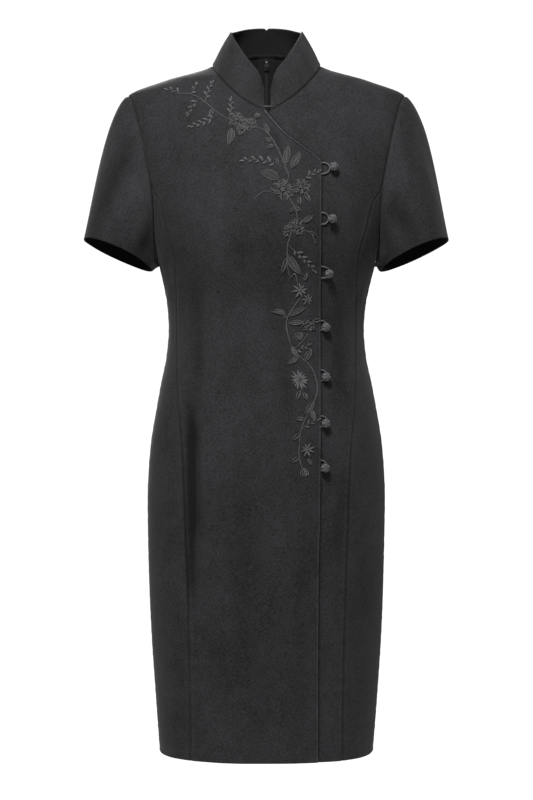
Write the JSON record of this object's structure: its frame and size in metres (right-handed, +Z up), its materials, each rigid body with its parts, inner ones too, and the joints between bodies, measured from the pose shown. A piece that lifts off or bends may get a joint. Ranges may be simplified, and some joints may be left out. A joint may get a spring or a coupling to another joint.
{
  "type": "fitted stand-collar dress",
  "caption": "Fitted knee-length dress with a stand collar, a side-fastened front with knotted buttons and cord loops, short sleeves and a back zip, held in its worn shape.",
  "frame": {"origin": "midway between the two side neck points, where the wearer's shoulders carry the dress", "axes": "+Z up, -Y out of the dress's front, +X to the wearer's left"},
  "size_m": [0.5128, 0.2444, 1.0214],
  "materials": {
    "cloth": "matte washed charcoal",
    "cord": "satin cord",
    "zip_tape": "woven tape and nylon coil",
    "zip_metal": "dark enamelled"
  },
  "bodies": {
    "dress": {"front_overlap": "cloth", "front_underlap": "cloth", "side_front_right": "cloth", "side_front_left": "cloth", "back_right": "cloth", "back_left": "cloth", "sleeve_right": "cloth", "sleeve_left": "cloth", "collar_right": "cloth", "collar_left": "cloth", "collar_hook": "cord", "button_1": "cord", "button_2": "cord", "button_3": "cord", "button_4": "cord", "button_5": "cord", "button_6": "cord", "button_7": "cord", "button_loop_1": "cord", "button_loop_2": "cord", "button_loop_3": "cord", "button_loop_4": "cord", "button_loop_5": "cord", "button_loop_6": "cord", "button_loop_7": "cord", "zip_tape_right": "zip_tape", "zip_tape_left": "zip_tape", "zip_chain": "zip_tape", "zip_slider": "zip_metal", "zip_top_stop": "zip_metal"},
    "pull_tab": {"zip_pull_tab": "zip_metal"}
  },
  "joints": [
    {"name": "pull_tab_swing", "type": "hinge", "parent": "dress", "child": "pull_tab", "pos_m": [0, 0.06228, 0.00899], "axis": [1, 0, 0], "range_deg": [0, 150]}
  ]
}
